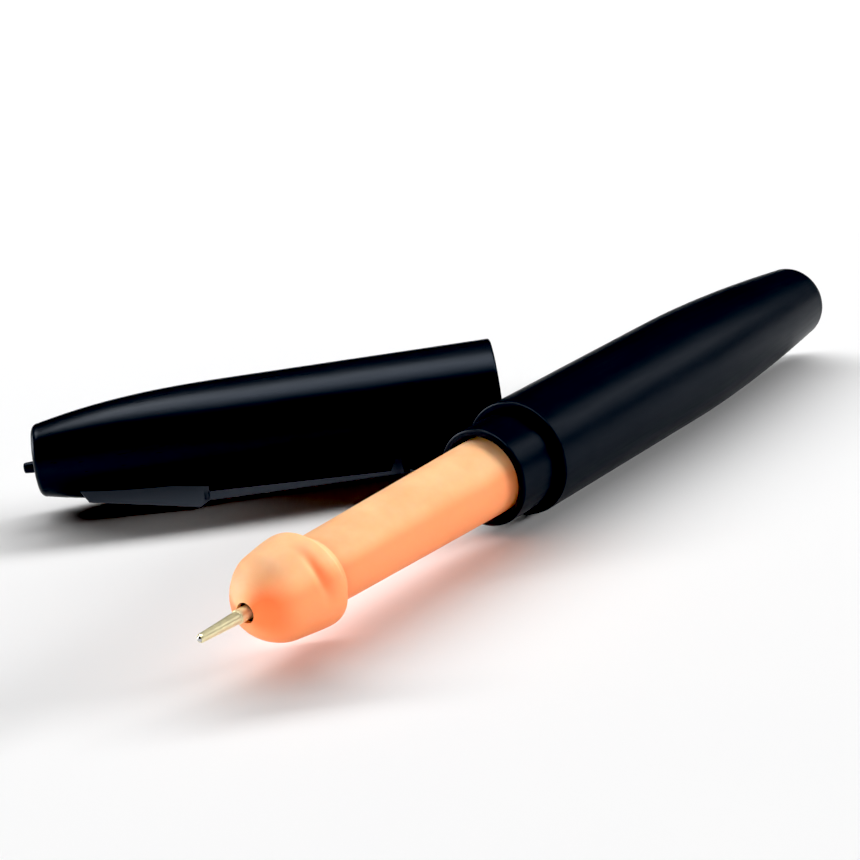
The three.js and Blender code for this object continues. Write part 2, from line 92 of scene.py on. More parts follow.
# Grip sleeve
GRIP_REAR_RADIUS = 4.95
GRIP_NECK_RADIUS = 4.35
GRIP_NECK_AT = 39.2
HEAD_RIM_AT = 41.8
HEAD_RIM_RADIUS = 5.95
HEAD_BULGE_AT = 46.6
HEAD_BULGE_RADIUS = 5.4
HEAD_NOSE_AT = 51.3
HEAD_BLUNTNESS = 1.5
NOSE_HOLE_RADIUS = 1.2
NECK_FULLNESS = 0.15
RIM_SLANT = 0.155
DENT_AT = 43.5
DENT_DEPTH = 0.65
DENT_LENGTH = 3.4
DENT_ANGLE = 158.0
DENT_SPREAD = 52.0
CORE_FIT = 0.15
SLEEVE_BORE = CORE_RADIUS + CORE_FIT
SLEEVE_EDGE = 0.3
OUTER_SKIN = 0.15                    # points this far outside the bore belong to the outer skin
NOSE_LIP = 0.5                       # the hole's lip, from the nose inwards
NOSE_LIP_STEP = 0.6
NOSE_STEPS = 60
RIM_STEPS = 84
SHAFT_STEPS = 90
SKIN_PASSES = 6

# Painted shade as deeper orange on the grip (in the dent, behind the rim and on the head's lower
# side), and deeper orange beside the hole: how strong, where along the pen, how far it reaches, and
# its angles
DENT_SHADE = 0.8
DENT_TINT_BACK = 0.15
DENT_TINT_REACH = 1.15
DENT_TINT_ANGLE = 149.0
DENT_TINT_SPREAD = 50.0
NOSE_TINT = 1.3
NOSE_TINT_AT = 51.2
NOSE_TINT_REACH = 4.0
NOSE_TINT_ANGLE = 176.0
NOSE_TINT_SPREAD = 104.0
NECK_SHADE = 0.25
NECK_TINT_FORWARD = 0.3
NECK_TINT_REACH = 1.6
HEAD_UNDERSIDE_SHADE = 0.07
HEAD_TINT_REACH = 3
BORE_SHADE = 2.0                      # past 1, which the material shows as painted shade in the bore
SHADE_BELOW_FROM = 0.62                    # the painted shade on the lower side starts this share of the radius above the axis
SHADE_BELOW_BORDER = 0.45

# Refill
TUBE_RADIUS = 1.55
TUBE_BORE = 1.05
TUBE_FRONT = -36.5
TUBE_REAR = 45.6
PLUG_LENGTH = 5.0
INK_LENGTH = 58.0
FOLLOWER_LENGTH = 6.0
FILL_RADIUS = 0.93
FILL_EDGE = 0.2
TUBE_EDGE = 0.12
SOCKET_FRONT = -45.9
TIP_REACH = 58.4
TIP_CONE_LENGTH = 5.8
TIP_NECK_RADIUS = 0.82
TIP_CONE_START_RADIUS = 0.74
TIP_SEAM = 0.1
TIP_SHANK_RADIUS = 1.1
TIP_SHANK_LENGTH = 4.1
TIP_BORE = 0.25
TIP_RIM_RADIUS = 0.52
TIP_SEAT_RADIUS = 0.43
TIP_SEAT_LENGTH = 0.2
TIP_SEAT_DEPTH = 0.53
TIP_LIP_REACH = 0.2
TIP_LIP_OUTSIDE = 0.42
TIP_LIP_INSIDE = 0.38
TIP_EDGE = 0.08

# Cap
CAP_RADIUS = 7.5
CAP_LENGTH = 64.0
CAP_STRAIGHT = 36.0
CAP_END_RADIUS = 5.1
CAP_END_ROUND = 0.9
CAP_TAPER_POWER = 2.5
CAP_WALL = 1.1
CAP_END_WALL = 1.6
CAP_FIT = 0.12
CAP_BORE = COLLAR_RADIUS + CAP_FIT
CAP_MOUTH_CHAMFER = 0.25
CAP_EDGE = 0.3
NUB_RADIUS = 0.9
NUB_LENGTH = 1.9
NUB_DROP = 0.8
NUB_TAPER = 0.8
NUB_ROOT = 1                         # how deep the stub starts inside the closed end
NUB_EDGE = 0.35

# Clip
CLIP_ANGLE = 40.0
CLIP_ROOT_AT = 58.6
CLIP_HEEL_AT = 57.3
CLIP_HEEL_STAND = 8.0
CLIP_FREE_AT = 50.0
CLIP_BARB_AT = 42.4
CLIP_BARB_STAND = 11.45
CLIP_BARB_INSIDE = 8.2
CLIP_ROOT_END = 40.95
CLIP_ROOT_WIDTH = 1.4
CLIP_HEEL_WIDTH = 1.2
CLIP_UPPER = 0.05                    # the blade's upper side, above the clip's middle plane
CLIP_SLOPE = 1.15                    # how steeply the root's outer face falls away below
CLIP_ARM_SLOPE = 0.6
CLIP_TENON = 1.2                     # how far the arm runs on inside the root
CLIP_ARM_START = 40.6
CLIP_ARM_END = 13.2
CLIP_ARM_STAND = 10.5
CLIP_ARM_RISE = 0.4
CLIP_ARM_THICK = 1.45
CLIP_END_THICK = 0.75
CLIP_ARM_WIDTH = 1.6
CLIP_END_WIDTH = 1.15
CLIP_END_LIFT = 0.4
CLIP_FOOT_SET = 0.5
CLIP_FOOT_LENGTH = 2.6
CLIP_FOOT_SLOPE = 0.8
CLIP_FOOT_STAND = 7.85
CLIP_HEEL_SINK = 0.2                 # how far the root's rear end dips into the cap
CLIP_ROOT_INSET = 0.05
CLIP_STEPS_FROM = 56.5
CLIP_STEPS_TO = 43.5
CLIP_ROOT_STEPS = 26
CLIP_ARM_STEPS = 40
CLIP_STEPS_CLEAR = 0.4
CLIP_CHAMFER = 0.2
CLIP_CHAMFER_SHARE = 0.3
CLIP_UPPER_DROP = 0.12
CLIP_THINNEST = 0.1
CLIP_ROOT_BEVEL = 0.09
CLIP_ARM_BEVEL = 0.08

PEN_YAW = math.radians(47.5)

# Camera, fitted to the outlines of the barrel and the cap in the photo
CAMERA_PLACE = (-17.8901, -263.0806, 93.82)
CAMERA_HEADING = (0.05199, 0.99865, 0.0)
CAMERA_PITCH = math.radians(-17.49)
CAMERA_ROLL = math.radians(-7.67)
CAMERA_LENS = 90.494
SENSOR_WIDTH = 36.0
NEAREST = 0.01                       # metres
FARTHEST = 20.0

# Floor, in metres
FLOOR_HALF = 4.0
FLOOR_DROP = 0.00002                 # keeps it from lying in the same plane as the undersides


# Placing: the frames are read from the CAD solids, so a piece goes where they are.

def middle(node):
    low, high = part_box(node)
    return (Vector(low) + Vector(high)) / 2


def pen_frame():
    turn = Matrix.Rotation(PEN_YAW, 4, "Z")
    ball = middle("tip_ball")
    origin = ball + turn @ Vector((TIP_REACH * MM, 0, 0))
    return Matrix.Translation(origin) @ turn @ Matrix.Scale(MM, 4)


def cap_frame():
    low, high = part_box("cap_shell")
    origin = Vector((high[0], high[1] - CAP_RADIUS * MM, CAP_RADIUS * MM))
    return Matrix.Translation(origin) @ Matrix.Scale(MM, 4)


PEN = pen_frame()
CAP = cap_frame()
CLIP = CAP @ Matrix.Rotation(math.radians(90 + CLIP_ANGLE), 4, "X")


# Outlines

def steps(start, end, count):
    return [start + (end - start) * i / count for i in range(count + 1)]


def samples(start, end, count, radius_at):
    return [(place, radius_at(place)) for place in steps(start, end, count)]


def end_round(along, radius, size, towards):
    """A quarter circle from the side onto the end face."""
    points = []
    for turn in steps(0, math.pi / 2, END_STEPS):
        sideways = towards * size * math.sin(turn)
        points.append((along + sideways, radius - size * (1 - math.cos(turn))))
    return points


def taper(along, straight, end, start_radius, end_radius, power):
    share = min(1.0, max(0.0, (along - straight) / (end - straight)))
    return start_radius - (start_radius - end_radius) * share ** power


def soften(outline, radius, closed=False):
    """Rounds each sharp corner of an outline, with a close support point on either side."""
    points = [Vector(p) for p in outline]
    result = []
    count = len(points)
    for i, point in enumerate(points):
        if not closed and i in (0, count - 1):
            result.append(tuple(point))
            continue
        before = points[i - 1] - point
        after = points[(i + 1) % count] - point
        turn = math.pi - before.angle(after)
        if turn < SHARP_TURN:
            result.append(tuple(point))
            continue
        reach = min(radius, 0.4 * before.length, 0.4 * after.length)
        start = point + before.normalized() * reach
        end = point + after.normalized() * reach
        result.append(tuple(start + before.normalized() * reach * CORNER_SUPPORT))
        for t in steps(0, 1, CORNER_STEPS):
            result.append(tuple(start * (1 - t) ** 2 + point * 2 * t * (1 - t) + end * t ** 2))
        result.append(tuple(end + after.normalized() * reach * CORNER_SUPPORT))
    return result


def relaxed(points, passes):
    """Evens out an outline's small kinks and keeps its ends."""
    current = [Vector(p) for p in points]
    for _ in range(passes):
        inner = [(p + 2 * q + r) / 4 for p, q, r in zip(current, current[1:], current[2:])]
        current = [current[0], *inner, current[-1]]
    return [tuple(p) for p in current]


def spline(points, count):
    """Points along a uniform Catmull-Rom curve through the given ones."""
    knots = [Vector(points[0])] + [Vector(p) for p in points] + [Vector(points[-1])]
    spans = len(points) - 1
    result = []
    for i in range(count + 1):
        place = min(i / count * spans, spans - 1e-9)
        k = int(place)
        t = place - k
        p0, p1, p2, p3 = knots[k:k + 4]
        v0 = (p2 - p0) / 2
        v1 = (p3 - p1) / 2
        curve = (2 * p1 - 2 * p2 + v0 + v1) * t ** 3 + (3 * p2 - 3 * p1 - 2 * v0 - v1) * t ** 2
        result.append(tuple(curve + v0 * t + p1))
    return result


# Meshes

def make_piece(name, vertices, faces, place, body, slot_name, material):
    mesh = bpy.data.meshes.new(name)
    mesh.from_pydata([place @ Vector(v) for v in vertices], [], faces)
    work = bmesh.new()
    work.from_mesh(mesh)
    bmesh.ops.recalc_face_normals(work, faces=work.faces)
    work.to_mesh(mesh)
    work.free()
    mesh.shade_smooth()
    mesh.set_sharp_from_angle(angle=SMOOTH_TURN)
    mesh.materials.append(material)
    obj = bpy.data.objects.new(name, mesh)
    bpy.context.scene.collection.objects.link(obj)
    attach(obj, body)
    return obj


def revolve(outline, sides, closed=False):
    """Vertices and faces of an outline turned about the X axis."""
    vertices = []
    rings = []
    for along, radius in outline:
        if radius < 1e-6:
            rings.append([len(vertices)])
            vertices.append((along, 0.0, 0.0))
            continue
        rings.append(list(range(len(vertices), len(vertices) + sides)))
        for i in range(sides):
            turn = 2 * math.pi * i / sides
            vertices.append((along, radius * math.cos(turn), radius * math.sin(turn)))
    if closed:
        rings.append(rings[0])
    faces = []
    for first, second in zip(rings, rings[1:]):
        for i in range(sides):
            j = (i + 1) % sides
            if len(first) == 1:
                faces.append((first[0], second[i], second[j]))
            elif len(second) == 1:
                faces.append((first[i], second[0], first[j]))
            else:
                faces.append((first[i], second[i], second[j], first[j]))
    return vertices, faces


# Materials

def new_material(name):
    material = bpy.data.materials.new(name)
    material.use_nodes = True
    nodes = material.node_tree.nodes
    shader = next(n for n in nodes if n.type == "BSDF_PRINCIPLED")
    return material, nodes, material.node_tree.links, shader


def millimetres(nodes, links, along_pen):
    """Texture coordinates in millimetres, with X along the pen or the cap."""
    source = nodes.new("ShaderNodeTexCoord")
    mapping = nodes.new("ShaderNodeMapping")
    mapping.inputs["Scale"].default_value = (1 / MM, 1 / MM, 1 / MM)
    if along_pen:
        turn = Matrix.Rotation(-PEN_YAW, 3, "Z")
        mapping.inputs["Rotation"].default_value = (0, 0, -PEN_YAW)
        mapping.inputs["Location"].default_value = -(turn @ PEN.translation) / MM
    links.new(source.outputs["Object"], mapping.inputs["Vector"])
    return mapping.outputs["Vector"]


def noise(nodes, links, vector, scale, detail=3.0, stretch=(1, 1, 1)):
    mapping = nodes.new("ShaderNodeMapping")
    mapping.inputs["Scale"].default_value = stretch
    links.new(vector, mapping.inputs["Vector"])
    texture = nodes.new("ShaderNodeTexNoise")
    texture.inputs["Scale"].default_value = scale
    texture.inputs["Detail"].default_value = detail
    links.new(mapping.outputs["Vector"], texture.inputs["Vector"])
    return texture.outputs["Fac"]


def mix_colour(nodes, links, share, first, second):
    """Mixes two colours, which go into sockets 6 and 7. The result is output 2."""
    mix = nodes.new("ShaderNodeMix")
    mix.data_type = "RGBA"
    for value, socket in ((first, mix.inputs[6]), (second, mix.inputs[7])):
        if isinstance(value, tuple):
            socket.default_value = (*value, 1.0)
        else:
            links.new(value, socket)
    links.new(share, mix.inputs["Factor"])
    return mix.outputs[2]


def spread(nodes, links, value, low, high, from_low=0.3, from_high=0.7):
    """Maps a value's range onto another one. Noise mostly lies between 0.3 and 0.7."""
    ramp = nodes.new("ShaderNodeMapRange")
    ramp.inputs["From Min"].default_value = from_low
    ramp.inputs["From Max"].default_value = from_high
    ramp.inputs["To Min"].default_value = low
    ramp.inputs["To Max"].default_value = high
    links.new(value, ramp.inputs["Value"])
    return ramp.outputs["Result"]


def bump(nodes, links, shader, *layers):
    """Each layer is (height, strength, distance in millimetres)."""
    normal = None
    for height, strength, distance in layers:
        node = nodes.new("ShaderNodeBump")
        node.inputs["Strength"].default_value = strength
        node.inputs["Distance"].default_value = distance * MM
        links.new(height, node.inputs["Height"])
        if normal is not None:
            links.new(normal, node.inputs["Normal"])
        normal = node.outputs["Normal"]
    links.new(normal, shader.inputs["Normal"])


def black_plastic(name, along_pen, roughness, tone_lift):
    """Moulded black plastic: faint flow marks, fine handling scratches along it, soft gloss."""
    material, nodes, links, shader = new_material(name)
    place = millimetres(nodes, links, along_pen)
    flow = noise(nodes, links, place, scale=0.12, detail=2.0, stretch=(0.4, 1, 1))
    grain = noise(nodes, links, place, scale=9.0, detail=2.0)
    scratches = noise(nodes, links, place, scale=2.2, detail=4.0, stretch=(0.06, 1, 1))
    dark = (0.0004 + tone_lift, 0.0009 + 1.1 * tone_lift, 0.0022 + 1.25 * tone_lift)
    lighter = (0.0008 + 1.1 * tone_lift, 0.0015 + 1.2 * tone_lift, 0.0032 + 1.36 * tone_lift)
    tone = spread(nodes, links, flow, 0.0, 1.0)
    links.new(mix_colour(nodes, links, tone, dark, lighter), shader.inputs["Base Color"])
    gloss = spread(nodes, links, scratches, roughness - 0.02, roughness + 0.04)
    links.new(gloss, shader.inputs["Roughness"])
    shader.inputs["Specular IOR Level"].default_value = 0.10
    shader.inputs["Specular Tint"].default_value = (0.66, 0.79, 1.0, 1.0)
    layers = ((grain, 0.08, 0.005), (scratches, 0.015, 0.005), (flow, 0.2, 0.03))
    bump(nodes, links, shader, *layers)
    return material


def soft_skin(name):
    """Soft matt elastomer: deeper orange where the attributes say so, which is painted shade on the
    lower side, in the dent, behind the rim and in the bore, and deeper orange beside the hole; fine
    even grain.
    """
    material, nodes, links, shader = new_material(name)
    place = millimetres(nodes, links, True)
    shade_and_orange_attribute = nodes.new("ShaderNodeAttribute")
    shade_and_orange_attribute.attribute_name = "shade_and_orange"
    underside_shade = nodes.new("ShaderNodeAttribute")
    underside_shade.attribute_name = "underside_shade"
    clouds = noise(nodes, links, place, scale=0.22)
    grain = noise(nodes, links, place, scale=6.0)
    pores = noise(nodes, links, place, scale=15.0, detail=1.0)
    pale = (1.0, 0.575, 0.295)
    warm = (1.0, 0.475, 0.225)
    # painted shade on the lower side
    lower = (1.0, 0.33, 0.14)
    # deeper orange for the painted shade in the dent, behind the rim and below, and for the patch
    # beside the hole
    orange = (1.0, 0.21, 0.07)
    # painted shade in the bore
    bore = (0.05, 0.012, 0.005)
    mottled = mix_colour(nodes, links, spread(nodes, links, clouds, 0.0, 1.0), pale, warm)
    skin = mix_colour(nodes, links, underside_shade.outputs["Fac"], mottled, lower)
    tinted = mix_colour(nodes, links, shade_and_orange_attribute.outputs["Fac"], skin, orange)
    bore_shade_share = spread(nodes, links, shade_and_orange_attribute.outputs["Fac"], 0.0, 1.0, from_low=1.0, from_high=1.5)
    links.new(mix_colour(nodes, links, bore_shade_share, tinted, bore), shader.inputs["Base Color"])
    links.new(spread(nodes, links, grain, 0.5, 0.62), shader.inputs["Roughness"])
    shader.inputs["Specular IOR Level"].default_value = 0.35
    shader.inputs["Subsurface Weight"].default_value = 0.35
    shader.inputs["Subsurface Radius"].default_value = (1.0, 0.35, 0.15)
    shader.inputs["Subsurface Scale"].default_value = 1.6 * MM
    bump(nodes, links, shader, (grain, 0.25, 0.02), (pores, 0.2, 0.012))
    return material


def metal(name, colour, roughness, ring_pitch, metallic):
    """Turned metal: fine rings round the axis, slight colour drift."""
    material, nodes, links, shader = new_material(name)
    place = millimetres(nodes, links, True)
    rings = nodes.new("ShaderNodeTexWave")
    rings.bands_direction = "X"
    rings.inputs["Scale"].default_value = 1 / ring_pitch
    rings.inputs["Distortion"].default_value = 0.4
    links.new(place, rings.inputs["Vector"])
    drift = noise(nodes, links, place, scale=1.4, detail=2.0)
    darker = tuple(0.85 * c for c in colour)
    tone = spread(nodes, links, drift, 0.0, 1.0)
    links.new(mix_colour(nodes, links, tone, darker, colour), shader.inputs["Base Color"])
    shader.inputs["Metallic"].default_value = metallic
    ring = rings.outputs["Fac"]
    gloss = spread(nodes, links, ring, roughness, roughness + 0.08, from_low=0, from_high=1)
    links.new(gloss, shader.inputs["Roughness"])
    bump(nodes, links, shader, (ring, 0.25, 0.004))
    return material


def clear_plastic(name):
    """Cloudy, half clear tube plastic."""
    material, nodes, links, shader = new_material(name)
    place = millimetres(nodes, links, True)
    haze = noise(nodes, links, place, scale=1.2, stretch=(0.1, 1, 1))
    tone = spread(nodes, links, haze, 0.0, 1.0)
    cloudy = (0.80, 0.82, 0.84)
    clear = (0.90, 0.91, 0.92)
    links.new(mix_colour(nodes, links, tone, cloudy, clear), shader.inputs["Base Color"])
    links.new(spread(nodes, links, haze, 0.22, 0.36), shader.inputs["Roughness"])
    shader.inputs["Transmission Weight"].default_value = 0.55
    bump(nodes, links, shader, (haze, 0.15, 0.01))
    return material


def filling(name, colour, roughness):
    """Ink or grease with faint streaks along the tube."""
    material, nodes, links, shader = new_material(name)
    place = millimetres(nodes, links, True)
    streaks = noise(nodes, links, place, scale=1.0, stretch=(0.3, 1, 1))
    darker = tuple(0.6 * c for c in colour)
    tone = spread(nodes, links, streaks, 0.0, 1.0)
    links.new(mix_colour(nodes, links, tone, darker, colour), shader.inputs["Base Color"])
    shader.inputs["Roughness"].default_value = roughness
    bump(nodes, links, shader, (streaks, 0.1, 0.01))
    return material


# Pen

def barrel_radius(a):
    taper_end = BARREL_LENGTH - BARREL_END_ROUND
    return taper(
        a, BARREL_STRAIGHT, taper_end, BARREL_RADIUS, BARREL_END_RADIUS, BARREL_TAPER_POWER)


def make_barrel():
    taper_end = BARREL_LENGTH - BARREL_END_ROUND
    bore_end = BARREL_LENGTH - BARREL_END_WALL

    def bore(a):
        return min(BARREL_BORE, barrel_radius(min(a, taper_end)) - BARREL_WALL)

    outline = [
        (bore_end, 0.0),
        *samples(bore_end, BARREL_STRAIGHT, BORE_STEPS, bore),
        (MOUTH_CHAMFER, BARREL_BORE),
        (0.0, BARREL_BORE + MOUTH_CHAMFER),
        (0.0, BARREL_RADIUS),
        *samples(BARREL_STRAIGHT, taper_end, TAPER_STEPS, barrel_radius),
        *end_round(taper_end, BARREL_END_RADIUS, BARREL_END_ROUND, 1)[1:],
        (BARREL_LENGTH, 0.0),
    ]
    shape = revolve(soften(outline, BARREL_EDGE), SIDES)
    obj = make_piece("barrel_shell", *shape, PEN, "barrel", "shell_plastic", BLACK_PEN)
    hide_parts("barrel")


def make_section():
    nose_end = -CORE_NOSE_REACH
    outline = [
        (nose_end, CORE_NOSE_RADIUS),
        (nose_end + CORE_TIP_LENGTH, CORE_NOSE_RADIUS),
        (nose_end + CORE_NOSE_LENGTH, CORE_RADIUS),
        (-POCKET_FLOOR, CORE_RADIUS),
        (-POCKET_FLOOR, POCKET_RADIUS),
        (-COLLAR_LENGTH, POCKET_RADIUS),
        (-COLLAR_LENGTH, COLLAR_RADIUS),
        (-SEAM, COLLAR_RADIUS),
        (-SEAM, SPIGOT_RADIUS),
        (SPIGOT_LENGTH - SPIGOT_LEAD, SPIGOT_RADIUS),
        (SPIGOT_LENGTH, SPIGOT_RADIUS - SPIGOT_LEAD),
        (SPIGOT_LENGTH, CORE_BORE),
        (-CORE_STEP_AT, CORE_BORE),
        (-CORE_STEP_AT, NOSE_BORE),
        (nose_end, NOSE_BORE),
    ]
    shape = revolve(soften(outline, SECTION_EDGE, closed=True), SIDES, closed=True)
    obj = make_piece("collar_and_core", *shape, PEN, "pen", "shell_plastic", BLACK_PEN)
    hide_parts("section")


def sleeve_outside():
    """The grip's outer line: blunt nose, bulge, flared rim, neck and the slightly tapered shaft."""
    nose_length = HEAD_NOSE_AT - HEAD_BULGE_AT
    shaft_length = GRIP_NECK_AT - COLLAR_LENGTH

    def nose_radius(a):
        share = min(1.0, (-HEAD_BULGE_AT - a) / nose_length)
        full = (1 - share ** HEAD_BLUNTNESS) ** (1 / HEAD_BLUNTNESS)
        return NOSE_HOLE_RADIUS + (HEAD_BULGE_RADIUS - NOSE_HOLE_RADIUS) * full

    def shaft_radius(a):
        widening = GRIP_REAR_RADIUS - GRIP_NECK_RADIUS
        return GRIP_NECK_RADIUS + widening * (a + GRIP_NECK_AT) / shaft_length

    turns = steps(0, math.pi / 2, NOSE_STEPS)[:-1]
    places = [-HEAD_BULGE_AT - nose_length * math.cos(turn) for turn in turns]
    nose = [(a, nose_radius(a)) for a in places]
    slope_radius = (HEAD_RIM_RADIUS + GRIP_NECK_RADIUS) / 2 + NECK_FULLNESS
    rim = spline([
        (-HEAD_BULGE_AT, HEAD_BULGE_RADIUS),
        (-HEAD_RIM_AT, HEAD_RIM_RADIUS),
        (-(HEAD_RIM_AT + GRIP_NECK_AT) / 2, slope_radius),
        (-GRIP_NECK_AT, GRIP_NECK_RADIUS),
    ], RIM_STEPS)
    shaft = samples(-GRIP_NECK_AT, -COLLAR_LENGTH, SHAFT_STEPS, shaft_radius)
    return relaxed(nose + rim + shaft[1:], SKIN_PASSES)


def hump(distance, reach):
    """1 in the middle, falling softly to 0 at the reach."""
    share = min(1.0, abs(distance) / reach)
    return 0.5 + 0.5 * math.cos(math.pi * share)


def apart(turn, other):
    """The angle between two directions round the axis."""
    return abs(math.atan2(math.sin(turn - other), math.cos(turn - other)))


def mould_head(vertices):
    """The rim leans and a shallow dent lies ahead of it, as on the CAD solid."""
    moved = []
    for x, y, z in vertices:
        radius = math.hypot(y, z)
        if radius > SLEEVE_BORE + OUTER_SKIN:
            near = hump(x + HEAD_RIM_AT, HEAD_NOSE_AT - HEAD_RIM_AT)
            around = apart(math.atan2(z, y), math.radians(DENT_ANGLE))
            dent = hump(x + DENT_AT, DENT_LENGTH / 2) * hump(around, math.radians(DENT_SPREAD))
            left = (radius - DENT_DEPTH * dent) / radius
            x, y, z = x - RIM_SLANT * z * near, y * left, z * left
        moved.append((x, y, z))
    return moved


def shade_below_mask(z, radius):
    """Mask of the painted shade below: 0 on the upper side and 1 on the lower, with a soft border a
    little above the middle.
    """
    share = min(1.0, max(0.0, (SHADE_BELOW_FROM - z / radius) / SHADE_BELOW_BORDER))
    return share * share * (3 - 2 * share)


def painted_shade_and_orange(x, y, z):
    """How much painted shade deepens the orange in the dent, behind the rim, below on the head and
    in the bore, and how much deeper the orange is beside the hole.
    """
    turn = math.atan2(z, y)
    radius = math.hypot(y, z)
    if radius < NOSE_HOLE_RADIUS and x > -HEAD_NOSE_AT:
        return BORE_SHADE
    dent_turn = apart(turn, math.radians(DENT_TINT_ANGLE))
    dent_near = hump(x + DENT_AT - DENT_TINT_BACK, DENT_TINT_REACH)
    dent = DENT_SHADE * dent_near * hump(dent_turn, math.radians(DENT_TINT_SPREAD))
    nose_turn = apart(turn, math.radians(NOSE_TINT_ANGLE))
    nose_near = hump(x + NOSE_TINT_AT, NOSE_TINT_REACH)
    nose = NOSE_TINT * nose_near * hump(nose_turn, math.radians(NOSE_TINT_SPREAD))
    neck = NECK_SHADE * hump(x + GRIP_NECK_AT + NECK_TINT_FORWARD, NECK_TINT_REACH)
    on_head = min(1.0, max(0.0, (-x - HEAD_RIM_AT) / HEAD_TINT_REACH))
    return min(1.0, dent + nose + neck + HEAD_UNDERSIDE_SHADE * shade_below_mask(z, radius) * on_head)


def painted_underside_shade(x, y, z):
    """Painted shade: the lower side gets a deeper tone than the top."""
    return shade_below_mask(z, math.hypot(y, z))


def make_grip():
    rear = -POCKET_FLOOR - SEAM
    core_end = -CORE_NOSE_REACH
    nose_bore = CORE_NOSE_RADIUS + CORE_FIT
    inside = [
        (rear, GRIP_REAR_RADIUS),
        (rear, SLEEVE_BORE),
        (core_end + CORE_NOSE_LENGTH + CORE_FIT, SLEEVE_BORE),
        (core_end + CORE_TIP_LENGTH, nose_bore),
        (-HEAD_NOSE_AT + NOSE_LIP_STEP, nose_bore),
        (-HEAD_NOSE_AT + NOSE_LIP, NOSE_HOLE_RADIUS),
    ]
    outline = sleeve_outside() + soften(inside, SLEEVE_EDGE)
    vertices, faces = revolve(outline, SIDES, closed=True)
    obj = make_piece("soft_grip_skin", mould_head(vertices), faces, PEN, "pen", "soft_grip", SKIN)
    for name, tint in (("shade_and_orange", painted_shade_and_orange), ("underside_shade", painted_underside_shade)):
        attribute = obj.data.attributes.new(name, "FLOAT", "POINT")
        attribute.data.foreach_set("value", [tint(*v) for v in vertices])
    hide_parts("grip_sleeve")


def make_refill():
    tube = [
        (TUBE_FRONT, TUBE_BORE),
        (TUBE_FRONT, TUBE_RADIUS),
        (TUBE_REAR, TUBE_RADIUS),
        (TUBE_REAR, TUBE_BORE),
    ]
    shape = revolve(soften(tube, TUBE_EDGE, closed=True), SMALL_SIDES, closed=True)
    obj = make_piece("refill_tube_wall", *shape, PEN, "refill", "tube_plastic", CLEAR)
    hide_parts("refill_tube")
    ink_start = TUBE_FRONT + PLUG_LENGTH + SEAM
    grease_start = ink_start + INK_LENGTH + SEAM
    for node, start, length, material, slot_name in (
        ("ink_column", ink_start, INK_LENGTH, INK, "ink"),
        ("grease_follower", grease_start, FOLLOWER_LENGTH, GREASE, "grease"),
    ):
        end = start + length
        plug = [(start, 0.0), (start, FILL_RADIUS), (end, FILL_RADIUS), (end, 0.0)]
        shape = revolve(soften(plug, FILL_EDGE), SMALL_SIDES)
        obj = make_piece(node + "_fill", *shape, PEN, "refill", slot_name, material)
        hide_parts(node)


def make_tip():
    centre = -TIP_REACH
    cone_start = centre + TIP_CONE_LENGTH
    neck_start = SOCKET_FRONT - TIP_SEAM
    shank_end = neck_start + TIP_SHANK_LENGTH
    outline = [
        (centre - TIP_LIP_REACH, TIP_LIP_INSIDE),
        (centre - TIP_LIP_REACH, TIP_LIP_OUTSIDE),
        (centre, TIP_RIM_RADIUS),
        (cone_start, TIP_CONE_START_RADIUS),
        (cone_start, TIP_NECK_RADIUS),
        (neck_start, TIP_NECK_RADIUS),
        (neck_start, TIP_SHANK_RADIUS),
        (shank_end, TIP_SHANK_RADIUS),
        (shank_end, TIP_BORE),
        (centre + TIP_SEAT_DEPTH, TIP_BORE),
        (centre + TIP_SEAT_LENGTH, TIP_SEAT_RADIUS),
        (centre, TIP_SEAT_RADIUS),
    ]
    shape = revolve(soften(outline, TIP_EDGE, closed=True), SMALL_SIDES, closed=True)
    obj = make_piece("tip_cone", *shape, PEN, "refill", "nickel_silver", NICKEL)
    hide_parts("tip_body")


# Cap

def cap_radius(s):
    taper_end = CAP_LENGTH - CAP_END_ROUND
    return taper(s, CAP_STRAIGHT, taper_end, CAP_RADIUS, CAP_END_RADIUS, CAP_TAPER_POWER)


def make_cap():
    taper_end = CAP_LENGTH - CAP_END_ROUND
    bore_end = CAP_LENGTH - CAP_END_WALL

    def bore(x):
        return min(CAP_BORE, cap_radius(min(-x, taper_end)) - CAP_WALL)

    outline = [
        (-CAP_LENGTH, 0.0),
        *reversed(end_round(-taper_end, CAP_END_RADIUS, CAP_END_ROUND, -1)),
        *samples(-taper_end, -CAP_STRAIGHT, TAPER_STEPS, lambda x: cap_radius(-x))[1:],
        (0.0, CAP_RADIUS),
        (0.0, CAP_BORE + CAP_MOUTH_CHAMFER),
        (-CAP_MOUTH_CHAMFER, CAP_BORE),
        *samples(-CAP_STRAIGHT, -bore_end, BORE_STEPS, bore),
        (-bore_end, 0.0),
    ]
    shape = revolve(soften(outline, CAP_EDGE), SIDES)
    obj = make_piece("cap_shell_skin", *shape, CAP, "cap", "shell_plastic", BLACK_CAP)
    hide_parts("cap_shell")


def make_nub():
    """The moulding's gate stub, which sits a little below the middle of the closed end."""
    end = -CAP_LENGTH - NUB_LENGTH
    root = NUB_ROOT - CAP_LENGTH
    outline = [(end, 0.0), (end, NUB_TAPER * NUB_RADIUS), (root, NUB_RADIUS), (root, 0.0)]
    shape = revolve(soften(outline, NUB_EDGE), SMALL_SIDES)
    place = CAP @ Matrix.Translation((0, 0, -NUB_DROP))
    make_piece("cap_gate_stub", *shape, place, "cap", "shell_plastic", BLACK_CAP)


def loft(stations):
    """Joins equal cross-sections, each a list of (x, y, z), and closes both ends."""
    count = len(stations[0])
    vertices = [p for station in stations for p in station]
    faces = [tuple(range(count))]
    for k in range(len(stations) - 1):
        for i in range(count):
            j = (i + 1) % count
            faces.append((k * count + i, k * count + j, (k + 1) * count + j, (k + 1) * count + i))
    last = (len(stations) - 1) * count
    faces.append(tuple(last + i for i in reversed(range(count))))
    return vertices, faces


